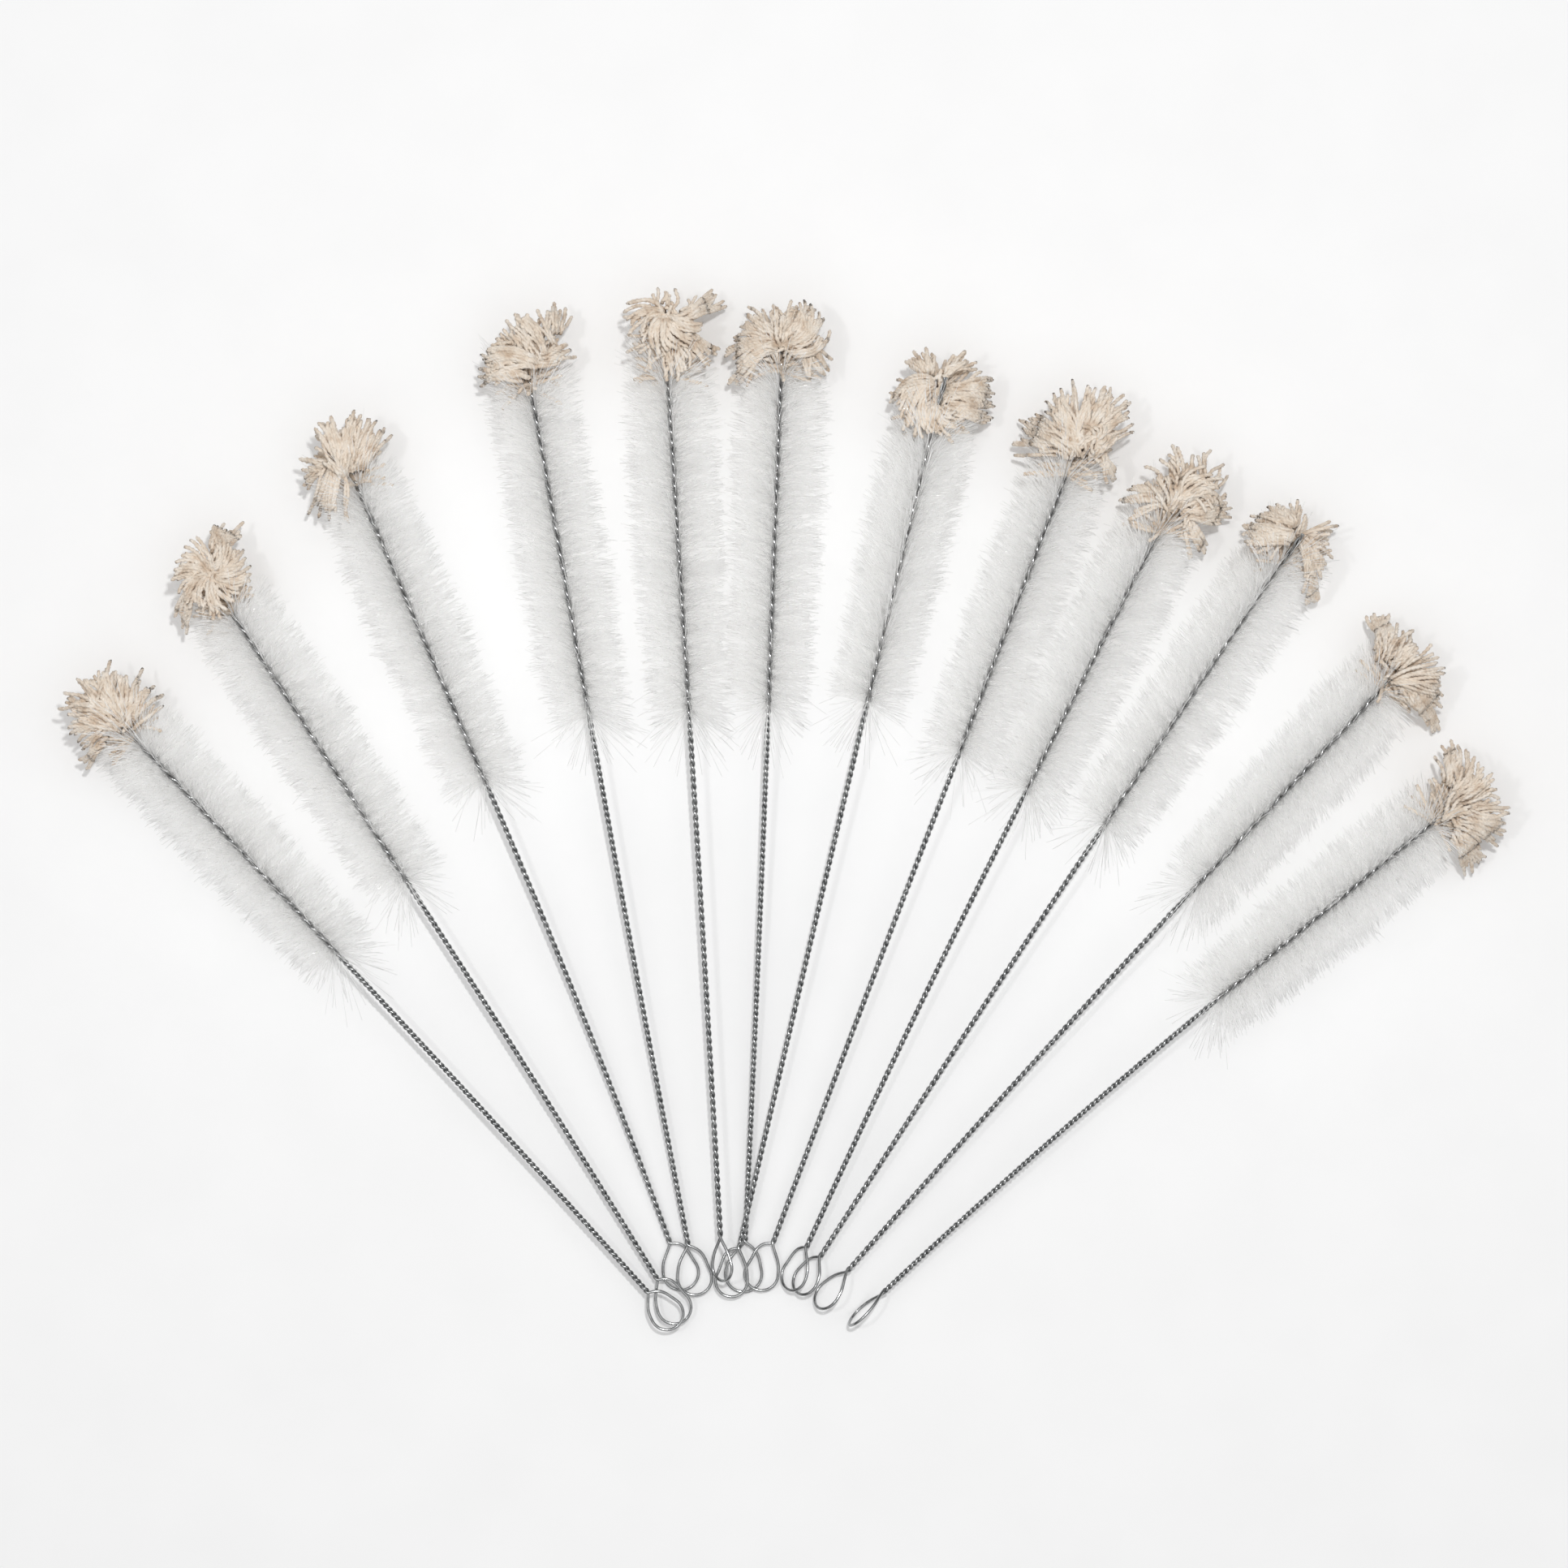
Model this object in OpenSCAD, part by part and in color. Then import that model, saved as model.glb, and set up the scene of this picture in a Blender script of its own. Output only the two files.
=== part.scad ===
// A set of twelve twisted-wire cleaning brushes, laid out flat as a fan.
// Each brush is one wire, folded into a hanging eye and twisted into a stem
// that grips the bristles, with a cotton mop at its far end.
// The fan stands on z = 0, with the eyes toward -Y and the cotton tips toward +Y.

/* [Wire] */
// Diameter of the steel wire
wire_d = 1; // [0.8:0.1:1.1]
// Diameter around the twisted pair of wires
pair_d = 2; // [1.8:0.1:2.1]
// Width of an eye, between the centres of its two sides
eye_w = 11; // [9:0.5:11.5]

/* [Bristles] */
// Diameter of the bristle head
head_d = 30; // [26:1:30]
// Diameter of the bristle head where it starts, next to the stem
head_base_d = 24; // [18:1:24]
// Length over which the head widens from its base to its full diameter
head_flare = 50; // [20:5:60]
// Height of the head's axis at the middle of its length
head_rise = 14.5; // [13:0.5:15]

/* [Cotton] */
// Diameter of the cotton mop
mop_d = 29; // [22:1:30]
// Radius of the mop's rounded end
mop_round = 7; // [4:0.5:9]

/* [Layout] */
// Point of the layout that lies over the origin, across the fan
fan_x = 1; // [-5:0.1:5]
// Point of the layout that lies over the origin, along the fan
fan_y = -1.4; // [-5:0.1:5]

/* [Hidden] */
chamfer = 2;
mop_chamfer = 3;
round_fn = 48;
arc_fn = 3000;
far = 400;
// A joining ball's diameter, as a multiple of the bar's, and the gap from its centre to the bars
ball_ratio = 1.1;
ball_gap = 0.1;
// Distance from the neck at which an eye's two sides start, inside the neck's ball
leg_start = 0.45 * pair_d;
// Clear length between the bend in the wire and the first bristle
head_start = 0.3 * pair_d;

// One row for each brush, from left to right:
// where the twist starts [x, y, z], heading of the stem there (degrees right of +Y),
// how far the stem curves to the right, stem length, bristle length, mop length,
// length of wire inside the mop, eye length, roll of the eye (right side up)
BRUSHES = [
    [[-43.5, -156.0, 7.2], -41.6, -1.4, 148, 97, 22, 12, 14.5, 0],
    [[-40.5, -152.0, 5.2], -31.2, -1.6, 153, 103, 24, 12, 16, 0],
    [[-36.5, -140.5, 1.6], -20.0, -3.2, 162, 104, 22, 12, 16, 0],
    [[-30.5, -141.0, 3.4], -11.0, 1.0, 175, 107, 24, 12, 16.5, 0],
    [[-20.0, -137.0, 9.6], -3.2, -0.4, 169, 109, 25, 15, 15, 45],
    [[-12.0, -140.0, 1.7], 2.8, -0.6, 174, 109, 17, 10, 16.5, 0],
    [[-14.0, -142.0, 4.9], 13.0, 0.4, 182, 90, 24, 18, 16, 0],
    [[-3.0, -140.5, 3.2], 20.4, 0.6, 171, 96, 27, 14, 16, 0],
    [[8.0, -141.5, 5.0], 24.3, 2.6, 165, 93, 25, 17, 15, 43],
    [[12.5, -144.5, 5.0], 32.6, 1.2, 168, 102, 14, 11, 14, 45],
    [[21.5, -149.0, 5.5], 41.0, 2.0, 168, 88, 17, 11, 15.5, 53],
    [[33.5, -155.5, 6.6], 46.6, 3.8, 143, 90, 23, 13, 16, 80]
];

function neck(b) = b[0];
function heading(b) = b[1];
function turn(b) = b[2];
function stem_len(b) = b[3];
function head_len(b) = b[4];
function mop_len(b) = b[5];
function mop_wire_len(b) = b[6];
function eye_len(b) = b[7];
function eye_roll(b) = b[8];
// Slope of the brush, which lifts its axis to head_rise at the middle of the head
function slope(b) = atan((head_rise - neck(b)[2]) / (stem_len(b) + head_len(b) / 2));
function brush_name(i) = str("brush_", i < 9 ? "0" : "", i + 1);

PIECES = ["wire", "bristles", "cotton_mop"];

// Places its children with the neck at their origin, their +Z along the stem and their +X to its right
module at_neck(b) {
    translate([neck(b)[0] - fan_x, neck(b)[1] - fan_y, neck(b)[2]])
        rotate([0, 0, -heading(b)])
            rotate([slope(b) - 90, 0, 0])
                children();
}

// Places its children where the curved stem ends and the bristles start
module at_head(b) {
    bend_r = stem_len(b) / (abs(turn(b)) * PI / 180);
    side = sign(turn(b));
    at_neck(b)
        translate([side * bend_r * (1 - cos(turn(b))), 0, bend_r * sin(abs(turn(b)))])
            rotate([0, turn(b), 0])
                children();
}

// Round bar bent to an arc that starts at the origin along +Z and turns toward +X, or toward -X
// for a negative angle. Each end stops short of the ball that joins it to the next stretch.
module bent_bar(len, angle, d) {
    bend_r = len / (abs(angle) * PI / 180);
    short = ball_gap * d / bend_r * 180 / PI;
    mirror([angle < 0 ? 1 : 0, 0, 0])
        translate([bend_r, 0, 0])
            rotate([90, 0, 0])
                rotate([0, 0, 180 - abs(angle) + short])
                    rotate_extrude(angle = abs(angle) - 2 * short, $fn = arc_fn)
                        translate([bend_r, 0])
                            circle(d = d, $fn = round_fn);
}

// Ball that joins two stretches of round bar
module joint_ball(d) {
    sphere(d = ball_ratio * d, $fn = round_fn);
}

// Teardrop of wire in the XZ plane, with its point at the origin and its length along -Z
module eye(len) {
    r = eye_w / 2;
    centre = len - r;
    leg_angle = asin(r / centre);
    leg_len = sqrt(centre * centre - r * r);
    short = ball_gap * wire_d;
    bow = 180 + 2 * leg_angle;
    bow_short = short / r * 180 / PI;
    for (side = [-1, 1])
        rotate([0, side * leg_angle, 0])
            translate([0, 0, -leg_len]) {
                joint_ball(wire_d);
                translate([0, 0, short])
                    cylinder(h = leg_len - short - leg_start, d = wire_d, $fn = round_fn);
            }
    translate([0, 0, -centre])
        rotate([90, 0, 0])
            rotate([0, 0, 180 - leg_angle + bow_short])
                rotate_extrude(angle = bow - 2 * bow_short, $fn = 96)
                    translate([r, 0])
                        circle(d = wire_d, $fn = round_fn);
}

// Cuts its children off flat at the surface that the fan lies on
module above_ground() {
    intersection() {
        children();
        translate([-far, -far, 0])
            cube([2 * far, 2 * far, far]);
    }
}

module wire(b) {
    short = ball_gap * pair_d;
    color("slategray") {
        at_neck(b) {
            rotate([0, 0, -eye_roll(b)])
                eye(eye_len(b));
            joint_ball(pair_d);
            bent_bar(stem_len(b), turn(b), pair_d);
        }
        at_head(b) {
            joint_ball(pair_d);
            translate([0, 0, short])
                cylinder(h = head_len(b) + mop_wire_len(b) - short, d = pair_d, $fn = round_fn);
        }
    }
}

module bristles(b) {
    bore = pair_d / 2;
    base = head_base_d / 2;
    full = head_d / 2;
    len = head_len(b);
    color("whitesmoke")
        above_ground()
            at_head(b)
                rotate_extrude($fn = 96)
                    polygon([
                        [bore, head_start], [base - chamfer, head_start], [base, chamfer],
                        [full, head_flare],
                        [full, len - chamfer], [full - chamfer, len], [bore, len]
                    ]);
}

module cotton_mop(b) {
    bore = pair_d / 2;
    full = mop_d / 2;
    len = mop_len(b);
    color("antiquewhite")
        above_ground()
            at_head(b)
                translate([0, 0, head_len(b)])
                    rotate_extrude($fn = 96)
                        polygon(concat(
                            [[bore, 0], [full - mop_chamfer, 0], [full, mop_chamfer]],
                            [for (a = [0 : 15 : 90])
                                [full - mop_round * (1 - cos(a)), len - mop_round * (1 - sin(a))]],
                            [[0, len], [0, mop_wire_len(b)], [bore, mop_wire_len(b)]]
                        ));
}

for (i = [0 : len(BRUSHES) - 1]) {
    wire(BRUSHES[i]);
    bristles(BRUSHES[i]);
    cotton_mop(BRUSHES[i]);
}
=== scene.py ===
"""Twelve twisted-wire cleaning brushes, laid out as a fan on a pale surface.

Metres. The layout rows start with the same numbers as the CAD model's: each brush starts at its
neck, where the eye joins the stem, and every other place on it is measured along the brush from
there.
"""

import math
from collections import namedtuple

import bpy
import numpy as np
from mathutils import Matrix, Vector


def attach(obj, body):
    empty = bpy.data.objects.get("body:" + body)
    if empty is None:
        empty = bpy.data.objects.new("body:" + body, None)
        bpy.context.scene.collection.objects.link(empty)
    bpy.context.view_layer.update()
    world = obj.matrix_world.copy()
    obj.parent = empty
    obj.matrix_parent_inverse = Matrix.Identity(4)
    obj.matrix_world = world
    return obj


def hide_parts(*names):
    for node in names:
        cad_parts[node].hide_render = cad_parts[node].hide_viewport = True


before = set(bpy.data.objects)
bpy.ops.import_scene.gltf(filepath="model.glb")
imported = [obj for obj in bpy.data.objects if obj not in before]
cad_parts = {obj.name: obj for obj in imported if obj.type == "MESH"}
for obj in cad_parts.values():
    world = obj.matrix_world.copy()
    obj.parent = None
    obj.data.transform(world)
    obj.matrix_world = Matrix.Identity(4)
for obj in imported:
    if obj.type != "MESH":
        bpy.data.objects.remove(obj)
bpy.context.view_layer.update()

MM = 0.001

# ---- the wire, shared by all twelve brushes ----
WIRE_D = 1.0 * MM
HELIX_R = WIRE_D / 2
WIRE_SIDES = 10
HELIX_STEP = 0.22 * MM
WIRE_STEP = 0.25 * MM
BEND_SOFTENING = 3
LIFT_POWER = 0.6

# ---- the fan: where its middle is in the layout, and how high the middle of each head lies ----
FAN_SHIFT = np.array([1.0, -1.4, 0.0]) * MM
HEAD_RISE = 14.5 * MM

# ---- the eye ----
EYE_LANDING = math.radians(104)
LEG_HANDLE = 0.5
RING_HANDLE = 0.45
LEG_POINTS = 26
RING_POINTS = 60

# ---- the bristles ----
# A SPREAD is a standard deviation and a SCATTER is a mean with its standard deviation. Plain
# numbers for tilt are degrees, those for length are millimetres.
HEAD_R = 15.2 * MM
HEAD_BASE_R = 13.0 * MM
HEAD_FLARE = 50.0 * MM
FILAMENT_R = 0.095 * MM
FILAMENT_TAPER = np.array([0.45, 0.95, 1.0, 0.65])
FILAMENT_SIDES = 3
FILAMENTS = 2200
FILAMENT_STEPS = np.array([0.0, 0.3, 0.65, 1.0])
FIRST_FILAMENT = 0.2 * MM
GRIP_SPREAD = 0.42
SWING_SPREAD = 0.12
TILT_SPREAD = 9
CLUMP = 0.9 * MM
CLUMP_ROWS = 400
CLUMP_UPPER = 0.3
CLUMP_TILT = 8
CLUMP_LENGTH = 0.8
LENGTH_MEAN = 0.2
LENGTH_SPREAD = 0.9
SLANT_POWER = 0.7
PARTING = math.radians(5)
STEEPEST = math.radians(58)
FOOT_SWEEP = math.radians(42)
FOOT_RUN = 9 * MM
TIP_SWEEP = math.radians(38)
TIP_RUN = 7 * MM
BOW_FORWARD_SCATTER = (-0.05, 0.06)
BOW_AROUND_SCATTER = (0, 0.07)
FLOOR_LAYER = 0.1 * MM
STRAYS = 46
STRAY_RUN = 4 * MM
STRAY_TILT = (-72, -25)
STRAY_LENGTH = (14, 24)
STRAY_FORWARD_SCATTER = (0, 0.05)
STRAY_AROUND_SCATTER = (0, 0.08)

# ---- the cotton mops, with the same plain units ----
YARN_R = 0.70 * MM
YARN_R_SPREAD = 0.05
YARN_SIDES = 8
YARN_WAIST = 0.70
YARN_END = 0.7
YARN_PLY_PITCH = 3.2 * MM
YARN_PLY_START = 6.3
YARN_RINGS = 26
CORE_YARNS = 76
CORE_LENGTH = (11, 14)
CORE_LENGTH_LOSS = 2
CORE_DEPTH = 3
CORE_SWING_SPREAD = 0.5
CORE_AHEAD = 1.1
CORE_AHEAD_SCATTER = (0.05, 0.3)
CORE_AHEAD_LEAST = -0.3
CORE_SAG = np.array([0.0, 0.0, -0.9])
CORE_AROUND_SCATTER = (0.35, 0.6)
CORE_FORWARD_SCATTER = (0, 0.4)
LAY_STEP = 0.45 * MM
LAY_FIRST_SPREAD = 4
LAY_WAVE = 9
LAY_CURL_SHARE = (0.7, 1.3)
LAY_HEIGHT = (-0.5, 0.5)
LAY_RIPPLE = 0.25 * MM
LAY_RIPPLES = 1.4
EMERGE_SHARE = 0.22
EMERGE_DEPTH = 3.5 * MM
EMERGE_POWER = 0.7
MOP_R = 14.5 * MM
MOP_CROWN = 10.0 * MM
MOP_DROOP = 1.3
MOP_NEAR = 2
MOP_FAR = 7

# ---- the surroundings ----
FLOOR_GAP = 0.12 * MM
FLOOR_HALF = 12.0
WALL_LIGHT = 0.16
CEILING_LIGHT = 0.865
KEY_LIGHT = {"place": (0.12, 0.28, 1.43), "size": 0.07, "power": 7.0}
SECOND_LIGHT = {"place": (-0.50, 0.10, 1.45), "size": 0.09, "power": 1.9}
LIGHT_AIM = (0, 0.01, 0)
CAMERA_PLACE = (-0.34 * MM, 10.7 * MM, 1.5)
FRAME_WIDTH = 0.512
SENSOR_WIDTH = 36
DIFFUSE_BOUNCES = 10

# ---- one row a brush; lengths in millimetres, angles in degrees ----
Brush = namedtuple(
    "Brush",
    "neck heading turn stem head mop wire_in_mop eye_len eye_roll eye_w "
    "right_leg left_leg stem_pitch head_pitch tilt_right tilt_left wire_lift",
)
BRUSHES = [
    Brush((-43.5, -156.0, 7.2), -41.6, -1.4, 148, 97, 22, 12, 14.5, 0, 10.6, 66, 42, 3.8, 7.8, 8, 22, 0),
    Brush((-40.5, -152.0, 5.2), -31.2, -1.6, 153, 103, 24, 12, 16.0, 0, 11.0, 74, 36, 4.3, 8.1, 8, 22, 0),
    Brush((-36.5, -140.5, 1.6), -20.0, -3.2, 162, 104, 22, 12, 16.0, 0, 11.5, 78, 36, 4.8, 7.4, 8, 22, 0),
    Brush((-30.5, -141.0, 3.4), -11.0, 1.0, 175, 107, 24, 12, 16.5, 0, 11.2, 62, 40, 4.5, 8.7, 3, 22, 0),
    Brush((-20.0, -137.0, 9.6), -3.2, -0.4, 169, 109, 25, 15, 15.0, 45, 9.0, 30, 30, 5.0, 7.0, 10, 20, 0),
    Brush((-12.0, -140.0, 1.7), 2.8, -0.6, 174, 109, 17, 10, 16.5, 0, 11.9, 60, 38, 4.1, 8.2, 8, 20, 0),
    Brush((-14.0, -142.0, 4.9), 13.0, 0.4, 182, 90, 24, 18, 16.0, 0, 10.4, 36, 82, 4.5, 8.5, 30, 32, 11.5),
    Brush((-3.0, -140.5, 3.2), 20.4, 0.6, 171, 96, 27, 14, 16.0, 0, 10.9, 34, 78, 4.5, 7.4, 15, 20, 0),
    Brush((8.0, -141.5, 5.0), 24.3, 2.6, 165, 93, 25, 17, 15.0, 43, 10.6, 36, 76, 4.3, 6.9, 15, 20, 0),
    Brush((12.5, -144.5, 5.0), 32.6, 1.2, 168, 102, 14, 11, 14.0, 45, 10.4, 38, 66, 4.6, 8.4, 10, 25, 11.0),
    Brush((21.5, -149.0, 5.5), 41.0, 2.0, 168, 88, 17, 11, 15.5, 53, 10.6, 34, 46, 4.5, 8.5, -18, 25, 0),
    Brush((33.5, -155.5, 6.6), 46.6, 3.8, 143, 90, 23, 13, 16.0, 80, 10.8, 38, 38, 3.7, 7.2, -10, 15, 0),
]


# ---- how the cotton lies on top of each mop ----
# A lay starts at x, y in plan from where the wire goes into the mop, scattered by spread, and its
# yarn ends leave at plan angles from first to last (0 is right, 90 is up the fan), curl as they go
# (positive is to the left) and are from short to long. A later lay lies on an earlier one.
# Millimetres and degrees.
Lay = namedtuple("Lay", "count x y spread first last curl short long")
MOPS = [
    [
        Lay(26, -5, 7, 7, 60, 200, 0, 8, 12),
        Lay(22, -5, 5, 4, 150, 222, 5, 12, 16),
        Lay(14, -1, 4, 3, 40, 80, -5, 11, 14),
        Lay(40, -3, 5, 3.5, 75, 170, 0, 13, 17),
        Lay(16, -9, 11, 5, 70, 190, 10, 8, 11),
        Lay(8, -9, -1, 2.5, 210, 240, 0, 9, 12),
    ],
    [
        Lay(10, -13, 7, 3, 235, 265, -5, 9, 12),
        Lay(16, -4, 20, 3, 50, 100, -10, 7, 10),
        Lay(8, -5, 6, 2, 235, 285, 10, 6, 9),
        Lay(34, -6, 12.6, 4, 0, 360, 50, 9, 13),
        Lay(42, -6, 12.6, 0.8, 0, 360, 75, 11, 13.5),
    ],
    [
        Lay(26, -3, 9, 6, 60, 190, 0, 8, 11),
        Lay(24, -6, 7, 3, 238, 268, 5, 13, 18),
        Lay(8, -9, 6, 2, 170, 225, 0, 6, 10),
        Lay(16, 0, 6, 3, 50, 82, 5, 12, 16),
        Lay(34, -3, 5, 3, 78, 125, 0, 13, 17),
        Lay(12, -4, 3, 1.5, 60, 150, 0, 6, 9),
    ],
    [
        Lay(30, -1, 10, 6, 10, 200, 20, 8, 11),
        Lay(12, 2, 9, 3, -10, 25, 20, 8, 10),
        Lay(14, 7, 19, 2.5, 60, 100, 15, 6, 9),
        Lay(30, 3, 13, 5.5, 100, 135, 15, 7, 10),
        Lay(16, -1, 5, 2.5, 165, 190, -10, 12, 16),
        Lay(22, 3, 8, 2, 140, 165, 45, 15, 19),
    ],
    [
        Lay(30, 0, 14, 7, 0, 360, 40, 8, 11),
        Lay(16, 7, 13, 3, 285, 335, 15, 7, 10),
        Lay(18, 2, 10, 3.5, 250, 300, 10, 6, 9),
        Lay(8, -2, 21, 3, 60, 130, 10, 4, 6),
        Lay(18, 5, 19, 2.5, 15, 45, 10, 10, 13),
        Lay(36, -0.5, 20, 1, 130, 335, 75, 11, 14.5),
    ],
    [
        Lay(24, 0, 9, 7, 0, 180, 20, 8, 11),
        Lay(10, 8, 8, 3, 270, 320, 10, 8, 11),
        Lay(10, -9, 4, 2, 215, 245, 0, 8, 10),
        Lay(12, 0, 8, 2, 75, 105, 0, 9, 11),
        Lay(16, -3, 11, 2.5, 115, 160, 20, 8, 11),
        Lay(16, 3, 11, 2.5, 50, 90, -20, 8, 11),
        Lay(30, -2, 8, 2.5, 150, 205, 40, 12, 15),
        Lay(28, 3, 7, 2.5, -20, 40, 70, 12, 16),
    ],
    [
        Lay(30, 1, 10, 7, 0, 360, 40, 8, 11),
        Lay(14, -1, 19, 2, 100, 150, -10, 6, 9),
        Lay(12, 4, 18, 2, 20, 75, -10, 6, 9),
        Lay(20, 3.5, 9, 1.5, -35, -5, 25, 13, 16),
        Lay(22, 4.5, 13, 2, -20, 25, -5, 12, 15),
        Lay(24, 0.5, 9.5, 1.5, 195, 285, 85, 9, 12.5),
        Lay(30, 1, 15.5, 1.2, 150, 215, 75, 13, 17),
    ],
    [
        Lay(10, 10, 7, 2, 285, 320, 0, 8, 10),
        Lay(20, -2, 9, 3, 110, 185, 0, 11, 14),
        Lay(34, 4, 10, 7, 20, 160, 0, 9, 12),
        Lay(26, 9, 17, 5, 35, 85, 0, 7, 10),
        Lay(64, 4, 9, 4.5, 22, 165, 0, 15.5, 18),
        Lay(12, 8, 6, 2, 20, 60, 30, 8, 11),
        Lay(10, 9, 11, 1, 0, 360, 140, 5, 7),
    ],
    [
        Lay(10, 9, 5, 2.5, 285, 312, 0, 9, 12),
        Lay(34, 8, 13, 8, 0, 360, 40, 8, 11),
        Lay(14, 2, 11, 3, 150, 190, 20, 9, 13),
        Lay(20, 8, 7, 3, -15, 22, 15, 11, 15),
        Lay(7, 8, 18, 3, 60, 120, 25, 7, 10),
        Lay(4, 15, 18, 2, 60, 120, -30, 7, 9),
        Lay(12, 4, 7, 2, 50, 120, 20, 8, 12),
        Lay(18, 6.5, 8.5, 1.8, 70, 105, -130, 14, 18),
        Lay(8, 10, 10, 1.2, 60, 90, -110, 8, 11),
    ],
    [
        Lay(24, -1, 9, 4, 120, 220, 10, 7, 10),
        Lay(16, 9.5, -2, 1.6, 265, 290, 0, 8, 11),
        Lay(8, 7, 8, 1.5, -70, -20, -20, 4, 6),
        Lay(14, 8, 4, 1.8, 285, 335, -20, 6, 9),
        Lay(20, 6, 6, 1.5, 280, 305, -10, 9, 12),
        Lay(20, 3, 12, 2, 100, 150, 20, 6, 8.5),
        Lay(34, 2, 8, 2.6, 150, 175, 20, 10, 13),
    ],
    [
        Lay(24, 1, 11, 4, 40, 110, 0, 6, 9),
        Lay(28, 8, 1, 5, -50, 30, 0, 7, 9),
        Lay(10, 14, -6, 2, -75, -50, 0, 6, 9),
        Lay(20, 0, 13, 3, 78, 115, -10, 8, 11),
        Lay(24, 8, 0, 3.5, -60, -15, 10, 9, 13),
        Lay(22, 3, 8, 3, 35, 75, -15, 7, 9),
        Lay(10, 2, 2, 1.5, -5, 25, -15, 14, 18),
    ],
    [
        Lay(30, 9, 5, 6, -60, 70, 0, 7, 10),
        Lay(24, 8, -3, 3, -75, -30, 0, 10, 14),
        Lay(22, 7, 14, 3.5, 78, 108, 0, 8, 11),
        Lay(28, 9, 2, 3.5, -35, 5, 0, 11, 14),
        Lay(20, 7, 8, 2.5, 15, 60, 20, 10, 13),
        Lay(8, 3, 2, 1.5, 20, 80, -30, 7, 10),
    ],
]


# ---- the line of one brush ----


def turned(axis, degrees):
    """The matrix of a turn about one of the axes x, y and z."""
    angle = math.radians(degrees)
    c, s = math.cos(angle), math.sin(angle)
    if axis == "x":
        return np.array([[1, 0, 0], [0, c, -s], [0, s, c]])
    if axis == "y":
        return np.array([[c, 0, s], [0, 1, 0], [-s, 0, c]])
    return np.array([[c, -s, 0], [s, c, 0], [0, 0, 1]])


def spine(brush, along):
    """Points at these distances from the neck, and the forward, right and up directions there."""
    along = np.atleast_1d(np.asarray(along, dtype=float))
    stem = brush.stem * MM
    reach = stem + brush.head * MM / 2
    slope = math.degrees(math.atan((HEAD_RISE - brush.neck[2] * MM) / reach))
    place = turned("z", -brush.heading) @ turned("x", slope - 90)
    bend = stem / math.radians(abs(brush.turn))
    side = math.copysign(1.0, brush.turn)
    angle = np.clip(along, 0, stem) / bend
    past = np.where(along > stem, along - stem, np.minimum(along, 0))
    x = side * (bend * (1 - np.cos(angle)) + past * np.sin(angle))
    z = bend * np.sin(angle) + past * np.cos(angle)
    zero = np.zeros_like(x)
    origin = np.array(brush.neck) * MM - FAN_SHIFT
    points = origin + np.stack([x, zero, z], 1) @ place.T
    forward = np.stack([side * np.sin(angle), zero, np.cos(angle)], 1) @ place.T
    right = np.stack([np.cos(angle), zero, -side * np.sin(angle)], 1) @ place.T
    up = np.tile(-place[:, 1], (len(along), 1))
    return points, forward, right, up


def strand_phase(brush, along):
    """The turn of the twist, in radians, at these distances from the neck."""
    stem = brush.stem * MM
    in_stem = np.minimum(along, stem)
    in_head = np.maximum(along - stem, 0)
    start = math.radians(90 + brush.eye_roll)
    return start + 2 * math.pi * (in_stem / (brush.stem_pitch * MM) + in_head / (brush.head_pitch * MM))


# ---- meshes made of many swept lines ----


def unit(vectors):
    """The same directions at length one."""
    length = np.linalg.norm(vectors, axis=-1, keepdims=True)
    return vectors / np.maximum(length, 1e-12)


def sweep(lines, radius, profile, ply_turns=None):
    """Vertices, side faces and end faces of a tube along each line; lines is (lines, points, 3)."""
    count, rings, _ = lines.shape
    sides = len(profile)
    tangent = unit(np.gradient(lines, axis=1))
    helper = np.where(np.abs(tangent[:, :1, 2:]) < 0.8, [0.0, 0.0, 1.0], [1.0, 0.0, 0.0])[:, 0]
    first = np.empty_like(lines)
    first[:, 0] = unit(np.cross(tangent[:, 0], helper))
    for ring in range(1, rings):
        carried = first[:, ring - 1]
        along = tangent[:, ring]
        first[:, ring] = unit(carried - np.sum(carried * along, axis=1, keepdims=True) * along)
    second = np.cross(tangent, first)
    theta = 2 * math.pi * np.arange(sides) / sides
    turn = np.zeros((count, rings)) if ply_turns is None else ply_turns
    angle = theta[None, None, :] + turn[:, :, None]
    size = np.asarray(profile)[None, None, :] * np.broadcast_to(radius, (count, rings))[:, :, None]
    offset = (
        first[:, :, None, :] * (size * np.cos(angle))[..., None]
        + second[:, :, None, :] * (size * np.sin(angle))[..., None]
    )
    verts = (lines[:, :, None, :] + offset).reshape(-1, 3)
    index = np.arange(count * rings * sides).reshape(count, rings, sides)
    here = index[:, :-1, :]
    ahead = index[:, 1:, :]
    quads = np.stack([here, np.roll(here, -1, 2), np.roll(ahead, -1, 2), ahead], -1).reshape(-1, 4)
    caps = np.concatenate([index[:, 0, ::-1], index[:, -1, :]])
    return verts, quads, caps


def mesh_piece(name, verts, quads, caps, material):
    """A smooth-shaded object from swept lines."""
    mesh = bpy.data.meshes.new(name)
    mesh.vertices.add(len(verts))
    mesh.vertices.foreach_set("co", verts.astype(np.float32).ravel())
    corners = np.concatenate([quads.ravel(), caps.ravel()]).astype(np.int32)
    mesh.loops.add(len(corners))
    mesh.loops.foreach_set("vertex_index", corners)
    starts = np.concatenate([np.arange(len(quads)) * 4, quads.size + np.arange(len(caps)) * caps.shape[1]])
    mesh.polygons.add(len(starts))
    mesh.polygons.foreach_set("loop_start", starts.astype(np.int32))
    mesh.polygons.foreach_set("use_smooth", np.ones(len(starts), dtype=bool))
    mesh.update(calc_edges=True)
    mesh.materials.append(material)
    piece = bpy.data.objects.new(name, mesh)
    bpy.context.scene.collection.objects.link(piece)
    return piece


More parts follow.
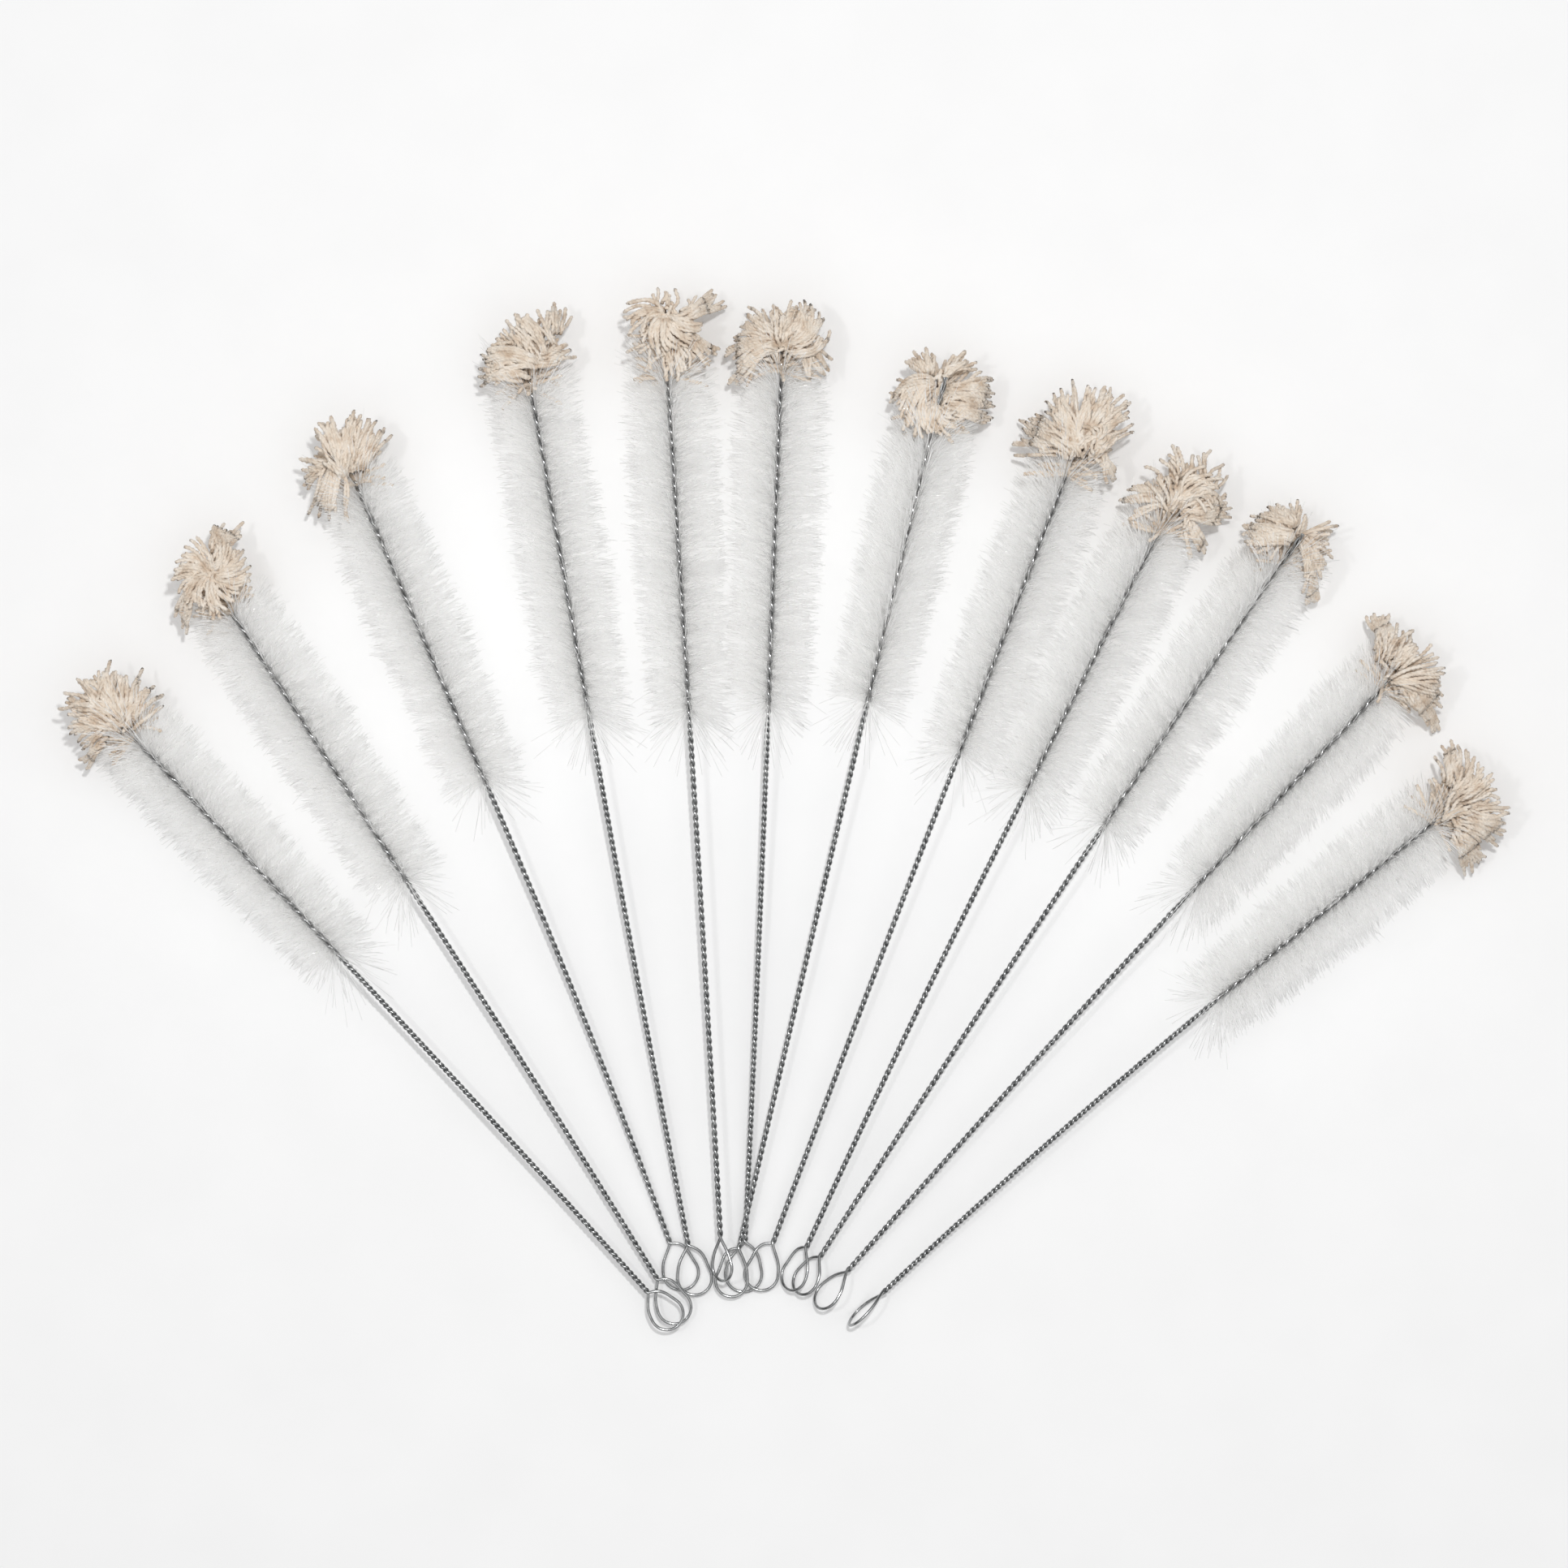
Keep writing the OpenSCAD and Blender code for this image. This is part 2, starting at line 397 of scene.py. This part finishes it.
# ---- steel wire ----


def helix_strand(brush, side):
    """One leg of the wire, from the neck to the end of the twist; side is 0 or 1."""
    end = (brush.stem + brush.head + brush.wire_in_mop) * MM
    along = np.arange(0.0, end, HELIX_STEP)
    points, _, right, up = spine(brush, along)
    phase = (strand_phase(brush, along) + math.pi * side)[:, None]
    lift_from = (brush.stem + brush.head) * MM
    share = np.clip((along - lift_from) / (brush.wire_in_mop * MM), 0, 1)[:, None]
    lift = share**LIFT_POWER * brush.wire_lift * MM
    return points + HELIX_R * (np.cos(phase) * right + np.sin(phase) * up) + lift * up


def bezier(a, b, c, d, steps):
    """Points along a cubic curve from a to d with handles b and c."""
    t = np.linspace(0, 1, steps)[:, None]
    return a * (1 - t) ** 3 + 3 * b * t * (1 - t) ** 2 + 3 * c * t**2 * (1 - t) + d * t**3


def eye_leg(side, leg, radius, centre):
    """One leg of the eye in its own plane (x across, y along the brush, z up), from neck to ring."""
    start = np.array([0, 0, side * HELIX_R])
    leave = np.array([side * math.sin(math.radians(leg)), -math.cos(math.radians(leg)), 0])
    across = math.sin(EYE_LANDING)
    back = math.cos(EYE_LANDING)
    land = np.array([side * radius * across, -centre - radius * back, 0])
    run = np.array([side * -back, -across, 0])
    gap = np.linalg.norm(land - start)
    return bezier(start, start + LEG_HANDLE * gap * leave, land - RING_HANDLE * gap * run, land, LEG_POINTS)


def eye_line(brush):
    """The eye's line from the upper strand's neck round to the lower strand's neck."""
    radius = brush.eye_w / 2 * MM
    centre = brush.eye_len * MM - radius
    right_leg = eye_leg(1, brush.right_leg, radius, centre)
    left_leg = eye_leg(-1, brush.left_leg, radius, centre)
    turn = np.linspace(EYE_LANDING, -EYE_LANDING, RING_POINTS)[1:-1]
    ring = np.stack([radius * np.sin(turn), -centre - radius * np.cos(turn), 0 * turn], 1)
    flat = np.concatenate([right_leg[1:], ring, left_leg[:0:-1]])
    neck, forward, right, up = spine(brush, 0.0)
    roll = math.radians(brush.eye_roll)
    across = math.cos(roll) * right + math.sin(roll) * up
    proud = math.cos(roll) * up - math.sin(roll) * right
    return neck + flat[:, :1] * across + flat[:, 1:2] * forward + flat[:, 2:] * proud


def evenly(points, step):
    """The same line with its points a fixed distance apart."""
    run = np.concatenate([[0], np.cumsum(np.linalg.norm(np.diff(points, axis=0), axis=1))])
    at = np.linspace(0, run[-1], int(run[-1] / step) + 1)
    return np.stack([np.interp(at, run, points[:, axis]) for axis in range(3)], 1)


def softened(points, passes):
    """Takes the kink out of each bend without moving the ends."""
    for _ in range(passes):
        points = points.copy()
        points[1:-1] = 0.25 * points[:-2] + 0.5 * points[1:-1] + 0.25 * points[2:]
    return points


def wire_piece(brush, name, material):
    """The whole wire of one brush as one swept line: up one strand, round the eye and back."""
    upper = helix_strand(brush, 0)
    lower = helix_strand(brush, 1)
    line = np.concatenate([upper[::-1], eye_line(brush), lower[1:]])
    line = softened(evenly(line, WIRE_STEP), BEND_SOFTENING)
    verts, quads, caps = sweep(line[None], WIRE_D / 2, np.ones(WIRE_SIDES))
    return mesh_piece(name, verts, quads, caps, material)


# ---- nylon bristles ----


def head_radius(along_head):
    """The length of the filaments, a little shorter at the foot of the head."""
    flare = np.clip(along_head / HEAD_FLARE, 0, 1)
    return HEAD_BASE_R + (HEAD_R - HEAD_BASE_R) * flare


def filament_lines(brush, rng, at, swing, tilt, length, bow):
    """Bent filaments from the core: place along the head, angle round the core, tilt to the tip."""
    points, forward, right, up = spine(brush, brush.stem * MM + at)
    radial = np.cos(swing)[:, None] * right + np.sin(swing)[:, None] * up
    around = np.cos(swing)[:, None] * up - np.sin(swing)[:, None] * right
    leave = radial * np.cos(tilt)[:, None] + forward * np.sin(tilt)[:, None]
    t = FILAMENT_STEPS[None, :, None]
    bend = (bow[:, :1] * forward + bow[:, 1:] * around)[:, None, :]
    lines = points[:, None, :] + length[:, None, None] * (t * leave[:, None, :] + t**2 * bend)
    lines[:, :, 2] = np.maximum(lines[:, :, 2], FLOOR_GAP + FLOOR_LAYER * rng.random((len(at), 1)))
    return lines


def parted(swing):
    """The same angles round the core with a narrow parting on the upper side, where the core shows."""
    off = (swing - math.pi / 2 + math.pi) % (2 * math.pi) - math.pi
    return math.pi / 2 + off + np.sign(off) * PARTING * np.exp(-np.abs(off) / (2 * PARTING))


def bristle_lines(brush, rng):
    """The filaments of one head: each pair leaves the twist on opposite sides, in small clumps."""
    count = 2 * FILAMENTS
    head = brush.head * MM
    at = rng.uniform(FIRST_FILAMENT, head, FILAMENTS)
    swing = strand_phase(brush, brush.stem * MM + at) + math.pi / 2
    swing += rng.normal(0, GRIP_SPREAD, FILAMENTS)
    at = np.concatenate([at, at])
    swing = np.concatenate([swing, swing + math.pi]) + rng.normal(0, SWING_SPREAD, count)
    swing = parted(swing)
    clump = (at / CLUMP).astype(int)
    clump += CLUMP_ROWS * (np.cos(swing) > 0) + 2 * CLUMP_ROWS * (np.sin(swing) > CLUMP_UPPER)
    lean = rng.normal(0, 1, (4 * CLUMP_ROWS, 2))[clump]
    half_side = (1 + np.cos(swing)) / 2
    mean_tilt = brush.tilt_left + (brush.tilt_right - brush.tilt_left) * half_side
    tilt = np.radians(mean_tilt + rng.normal(0, TILT_SPREAD, count) + CLUMP_TILT * lean[:, 0])
    tilt -= FOOT_SWEEP * np.exp(-at / FOOT_RUN) * rng.random(count)
    tilt += TIP_SWEEP * np.exp(-(head - at) / TIP_RUN) * rng.random(count)
    tilt = np.clip(tilt, -STEEPEST, STEEPEST)
    ragged = rng.normal(LENGTH_MEAN, LENGTH_SPREAD, count) + CLUMP_LENGTH * lean[:, 1]
    length = head_radius(at) / np.cos(tilt) ** SLANT_POWER + ragged * MM
    bow = np.stack([rng.normal(*BOW_FORWARD_SCATTER, count), rng.normal(*BOW_AROUND_SCATTER, count)], 1)
    return filament_lines(brush, rng, at, swing, tilt, length, bow)


def stray_lines(brush, rng):
    """The few long filaments that stand out toward the eye at the foot of the head."""
    at = rng.exponential(STRAY_RUN, STRAYS)
    swing = rng.uniform(0, 2 * math.pi, STRAYS)
    tilt = np.radians(rng.uniform(*STRAY_TILT, STRAYS))
    length = rng.uniform(*STRAY_LENGTH, STRAYS) * MM
    forward = rng.normal(*STRAY_FORWARD_SCATTER, STRAYS)
    bow = np.stack([forward, rng.normal(*STRAY_AROUND_SCATTER, STRAYS)], 1)
    return filament_lines(brush, rng, at, swing, tilt, length, bow)


def bristle_piece(brush, name, material, rng):
    """All the filaments of one brush, each thinner where it leaves the core and at its tip."""
    lines = np.concatenate([bristle_lines(brush, rng), stray_lines(brush, rng)])
    radius = (FILAMENT_TAPER * FILAMENT_R)[None, :]
    verts, quads, caps = sweep(lines, radius, np.ones(FILAMENT_SIDES))
    return mesh_piece(name, verts, quads, caps, material)


# ---- cotton mops ----


def grow(start, heading, bending, length, rings):
    """Lines that start at start, go along heading and bend steadily towards bending."""
    points = np.empty((len(start), rings, 3))
    points[:, 0] = start
    going = unit(heading)
    step = (length / (rings - 1))[:, None]
    for ring in range(1, rings):
        going = unit(going + bending / (rings - 1))
        points[:, ring] = points[:, ring - 1] + going * step
    return points


def yarn_core_lines(brush, rng, count):
    """Yarn ends gripped by the twist, standing out all round the end of the wire and sagging."""
    gripped = brush.wire_in_mop * MM
    at = rng.uniform(0, 1, count) * gripped
    along = (brush.stem + brush.head) * MM + at
    points, forward, right, up = spine(brush, along)
    swing = strand_phase(brush, along) + math.pi / 2 + math.pi * rng.integers(0, 2, count)
    swing += rng.normal(0, CORE_SWING_SPREAD, count)
    radial = np.cos(swing)[:, None] * right + np.sin(swing)[:, None] * up
    around = np.cos(swing)[:, None] * up - np.sin(swing)[:, None] * right
    ahead = CORE_AHEAD * (at / gripped)[:, None]
    ahead = ahead + rng.normal(*CORE_AHEAD_SCATTER, (count, 1)).clip(CORE_AHEAD_LEAST)
    heading = radial + forward * ahead
    bending = CORE_SAG + around * rng.normal(*CORE_AROUND_SCATTER, (count, 1))
    bending = bending + forward * rng.normal(*CORE_FORWARD_SCATTER, (count, 1))
    length = (rng.uniform(*CORE_LENGTH, count) - CORE_LENGTH_LOSS * radial[:, 2]) * MM
    lines = grow(points, heading, bending, length, YARN_RINGS)
    cover = mop_height(brush, lines[..., :2]) - CORE_DEPTH * LAY_STEP
    lines[..., 2] = np.minimum(lines[..., 2], cover)
    return lines


def mop_height(brush, places):
    """How high the top of the mop stands over these places in plan."""
    near = (brush.stem + brush.head + MOP_NEAR) * MM
    far = (brush.stem + brush.head + brush.mop - MOP_FAR) * MM
    ends, _, _, _ = spine(brush, [near, far])
    line = ends[1, :2] - ends[0, :2]
    share = np.clip((places - ends[0, :2]) @ line / (line @ line), 0, 1)[..., None]
    off = np.linalg.norm(places - (ends[0, :2] + share * line), axis=-1)
    dome = MOP_CROWN * np.sqrt(np.clip(1 - (off / MOP_R) ** 2, 0, 1))
    droop = MOP_DROOP * np.maximum(off - MOP_R, 0)
    return ends[:, 2].mean() + dome - droop


def laid_lines(brush, rng, lay, depth):
    """One lay of yarn ends over the top of the mop, all curling the same way, this deep in it."""
    entry, _, _, _ = spine(brush, (brush.stem + brush.head) * MM)
    around = rng.uniform(0, 2 * math.pi, lay.count)
    out = lay.spread * MM * np.sqrt(rng.random(lay.count))
    start = entry[0, :2] + np.array([lay.x, lay.y]) * MM
    start = start + out[:, None] * np.stack([np.cos(around), np.sin(around)], 1)
    t = np.linspace(0, 1, YARN_RINGS)
    first = np.linspace(lay.first, lay.last, lay.count) + rng.normal(0, LAY_FIRST_SPREAD, lay.count)
    wave = rng.normal(0, LAY_WAVE, (lay.count, 1)) * np.sin(2 * math.pi * (t + rng.random((lay.count, 1))))
    curl = lay.curl * rng.uniform(*LAY_CURL_SHARE, (lay.count, 1))
    angle = np.radians(first[:, None] + curl * t + wave)
    step = rng.uniform(lay.short, lay.long, lay.count)[:, None] * MM / YARN_RINGS
    plan = start[:, None, :] + np.cumsum(step[..., None] * np.stack([np.cos(angle), np.sin(angle)], -1), 1)
    emerge = np.clip(t / EMERGE_SHARE, 0, 1) ** EMERGE_POWER
    top = mop_height(brush, plan) - depth + rng.uniform(*LAY_HEIGHT, (lay.count, 1)) * MM
    top += LAY_RIPPLE * np.sin(2 * math.pi * (LAY_RIPPLES * t + rng.random((lay.count, 1))))
    height = top - (1 - emerge) * EMERGE_DEPTH
    return np.concatenate([plan, height[..., None]], -1)


def settled(lines):
    """Yarn that would go through the floor lies on it instead."""
    lines = lines.copy()
    lines[:, :, 2] = np.maximum(lines[:, :, 2], YARN_R + FLOOR_GAP)
    return lines


def mop_piece(brush, lays, name, material, rng):
    """One mop: the yarn ends round the wire with the lays on top, each a two-ply twist."""
    depths = LAY_STEP * np.arange(len(lays))[::-1]
    laid = [laid_lines(brush, rng, lay, depth) for lay, depth in zip(lays, depths)]
    lines = settled(np.concatenate([yarn_core_lines(brush, rng, CORE_YARNS), *laid]))
    around = 2 * math.pi * np.arange(YARN_SIDES) / YARN_SIDES
    profile = YARN_WAIST + (1 - YARN_WAIST) * np.cos(around) ** 2
    run = np.linalg.norm(np.diff(lines, axis=1), axis=2).cumsum(axis=1)
    run = np.concatenate([np.zeros((len(lines), 1)), run], axis=1)
    turns = 2 * math.pi * run / YARN_PLY_PITCH + rng.uniform(0, YARN_PLY_START, (len(lines), 1))
    size = YARN_R * (1 + rng.normal(0, YARN_R_SPREAD, (len(lines), 1))) * np.ones(YARN_RINGS)
    size[:, -1] *= YARN_END
    verts, quads, caps = sweep(lines, size, profile, turns)
    return mesh_piece(name, verts, quads, caps, material)


# ---- materials ----


def new_material(name):
    """A plain node material, and its nodes, links and shader."""
    material = bpy.data.materials.new(name)
    material.use_nodes = True
    nodes = material.node_tree.nodes
    return material, nodes, material.node_tree.links, nodes["Principled BSDF"]


def noise(nodes, links, scale, detail):
    """A noise texture in the object's own metres; scale is in cycles a metre."""
    coords = nodes.new("ShaderNodeTexCoord")
    texture = nodes.new("ShaderNodeTexNoise")
    texture.inputs["Scale"].default_value = scale
    texture.inputs["Detail"].default_value = detail
    links.new(coords.outputs["Object"], texture.inputs["Vector"])
    return texture


def ramp(nodes, links, source, stops):
    """A colour ramp over a noise value; stops are (position, colour)."""
    node = nodes.new("ShaderNodeValToRGB")
    elements = node.color_ramp.elements
    for element, (position, colour) in zip(elements, stops[:2]):
        element.position = position
        element.color = (*colour, 1)
    for position, colour in stops[2:]:
        element = elements.new(position)
        element.color = (*colour, 1)
    links.new(source, node.inputs["Fac"])
    return node


def grey(value):
    """A colour without hue."""
    return (value, value, value)


def bump(nodes, links, source, strength, distance):
    """A bump node over a texture value; distance is in metres."""
    node = nodes.new("ShaderNodeBump")
    node.inputs["Strength"].default_value = strength
    node.inputs["Distance"].default_value = distance
    links.new(source, node.inputs["Height"])
    return node


def steel_material():
    """Zinc-grey drawn wire: blotches in its colour and fine scuffs in its gloss."""
    material, nodes, links, shader = new_material("galvanised_wire_look")
    shader.inputs["Metallic"].default_value = 1.0
    blotches = noise(nodes, links, scale=420, detail=4)
    colour = ramp(
        nodes, links, blotches.outputs["Fac"], [(0.32, (0.31, 0.315, 0.32)), (0.68, (0.50, 0.505, 0.505))]
    )
    links.new(colour.outputs["Color"], shader.inputs["Base Color"])
    scuffs = noise(nodes, links, scale=2600, detail=2)
    gloss = ramp(nodes, links, scuffs.outputs["Fac"], [(0.3, grey(0.13)), (0.7, grey(0.26))])
    links.new(gloss.outputs["Color"], shader.inputs["Roughness"])
    relief = bump(nodes, links, scuffs.outputs["Fac"], strength=0.25, distance=0.04 * MM)
    links.new(relief.outputs["Normal"], shader.inputs["Normal"])
    return material


def nylon_material():
    """White glossy filament that lets light through to its neighbours: it casts almost no shadow."""
    material, nodes, links, shader = new_material("nylon_bristles_look")
    cloud = noise(nodes, links, scale=2400, detail=2)
    colour = ramp(
        nodes, links, cloud.outputs["Fac"], [(0.3, (0.975, 0.97, 0.96)), (0.6, (1.0, 0.998, 0.994))]
    )
    links.new(colour.outputs["Color"], shader.inputs["Base Color"])
    gloss = ramp(nodes, links, cloud.outputs["Fac"], [(0.3, grey(0.05)), (0.7, grey(0.13))])
    links.new(gloss.outputs["Color"], shader.inputs["Roughness"])
    shader.inputs["IOR"].default_value = 1.6
    shader.inputs["Specular IOR Level"].default_value = 1.0
    clear = nodes.new("ShaderNodeBsdfTransparent")
    clear.inputs["Color"].default_value = (0.992, 0.99, 0.987, 1)
    path = nodes.new("ShaderNodeLightPath")
    mix = nodes.new("ShaderNodeMixShader")
    links.new(path.outputs["Is Shadow Ray"], mix.inputs[0])
    links.new(shader.outputs["BSDF"], mix.inputs[1])
    links.new(clear.outputs["BSDF"], mix.inputs[2])
    links.new(mix.outputs["Shader"], nodes["Material Output"].inputs["Surface"])
    return material


def cotton_material():
    """Unbleached yarn: warm patches, a fibrous bump and a faint sheen."""
    material, nodes, links, shader = new_material("cotton_yarn_look")
    patches = noise(nodes, links, scale=260, detail=3)
    colour = ramp(
        nodes,
        links,
        patches.outputs["Fac"],
        [(0.28, (0.61, 0.475, 0.355)), (0.72, (0.88, 0.81, 0.725)), (0.5, (0.80, 0.70, 0.59))],
    )
    links.new(colour.outputs["Color"], shader.inputs["Base Color"])
    fibres = noise(nodes, links, scale=5200, detail=4)
    relief = bump(nodes, links, fibres.outputs["Fac"], strength=0.7, distance=0.12 * MM)
    links.new(relief.outputs["Normal"], shader.inputs["Normal"])
    dry = ramp(nodes, links, fibres.outputs["Fac"], [(0.3, grey(0.82)), (0.7, grey(0.98))])
    links.new(dry.outputs["Color"], shader.inputs["Roughness"])
    shader.inputs["Sheen Weight"].default_value = 0.25
    shader.inputs["Sheen Roughness"].default_value = 0.5
    return material


def floor_material():
    """A plain pale matt surface with a hardly visible grain."""
    material, nodes, links, shader = new_material("pale_floor")
    grain = noise(nodes, links, scale=30, detail=5)
    colour = ramp(nodes, links, grain.outputs["Fac"], [(0.3, grey(0.925)), (0.7, grey(0.945))])
    links.new(colour.outputs["Color"], shader.inputs["Base Color"])
    shader.inputs["Roughness"].default_value = 0.7
    return material


# ---- stage, light and camera ----


def make_floor():
    """A flat sheet so wide that its edge is not seen in a low view."""
    mesh = bpy.data.meshes.new("floor")
    half = FLOOR_HALF
    corners = [(-half, -half, 0), (half, -half, 0), (half, half, 0), (-half, half, 0)]
    mesh.from_pydata(corners, [], [(0, 1, 2, 3)])
    mesh.materials.append(floor_material())
    floor = bpy.data.objects.new("floor", mesh)
    bpy.context.scene.collection.objects.link(floor)


def make_light(name, place, size, power):
    """A round soft light that faces the middle of the fan."""
    data = bpy.data.lights.new(name, "AREA")
    data.shape = "DISK"
    data.size = size
    data.energy = power
    light = bpy.data.objects.new(name, data)
    light.location = place
    aim = Vector(LIGHT_AIM) - Vector(place)
    light.rotation_euler = aim.to_track_quat("-Z", "Y").to_euler()
    bpy.context.scene.collection.objects.link(light)


def make_world():
    """A studio that is bright overhead and darker towards the walls, so that steel has contrast."""
    world = bpy.data.worlds.new("studio")
    world.use_nodes = True
    nodes, links = world.node_tree.nodes, world.node_tree.links
    coords = nodes.new("ShaderNodeTexCoord")
    split = nodes.new("ShaderNodeSeparateXYZ")
    links.new(coords.outputs["Generated"], split.inputs["Vector"])
    wall = grey(WALL_LIGHT)
    ceiling = grey(CEILING_LIGHT)
    stops = [(0.0, wall), (0.92, ceiling), (0.45, wall), (0.75, ceiling)]
    sky = ramp(nodes, links, split.outputs["Z"], stops)
    links.new(sky.outputs["Color"], nodes["Background"].inputs["Color"])
    bpy.context.scene.world = world


def make_camera():
    """Straight down over the fan, with the frame's width as it is on the floor."""
    data = bpy.data.cameras.new("camera")
    data.sensor_width = SENSOR_WIDTH
    data.lens = SENSOR_WIDTH * CAMERA_PLACE[2] / FRAME_WIDTH
    camera = bpy.data.objects.new("camera", data)
    camera.location = CAMERA_PLACE
    bpy.context.scene.collection.objects.link(camera)
    bpy.context.scene.camera = camera


def make_stage():
    """Floor, light and camera. White filaments light each other many times, hence the bounces."""
    scene = bpy.context.scene
    scene.view_settings.view_transform = "Standard"
    scene.cycles.diffuse_bounces = DIFFUSE_BOUNCES
    make_floor()
    make_world()
    make_light("key", **KEY_LIGHT)
    make_light("second", **SECOND_LIGHT)
    make_camera()


# ---- build ----


def claim(piece, node, body):
    """Hides the CAD node that the piece stands for and hangs the piece on the body it rides on."""
    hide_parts(node)
    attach(piece, body)


def build_brush(number, brush, steel, nylon, cotton):
    """The three pieces of one brush, from the brush's own seed."""
    body = f"brush_{number:02d}"
    rng = np.random.default_rng(100 + number)
    wire = wire_piece(brush, f"{body}_wire_look", steel)
    claim(wire, f"{body}_wire", body)
    bristles = bristle_piece(brush, f"{body}_bristles_look", nylon, rng)
    claim(bristles, f"{body}_bristles", body)
    mop = mop_piece(brush, MOPS[number - 1], f"{body}_cotton_mop_look", cotton, rng)
    claim(mop, f"{body}_cotton_mop", body)


make_stage()
steel = steel_material()
nylon = nylon_material()
cotton = cotton_material()
for number, brush in enumerate(BRUSHES, 1):
    build_brush(number, brush, steel, nylon, cotton)
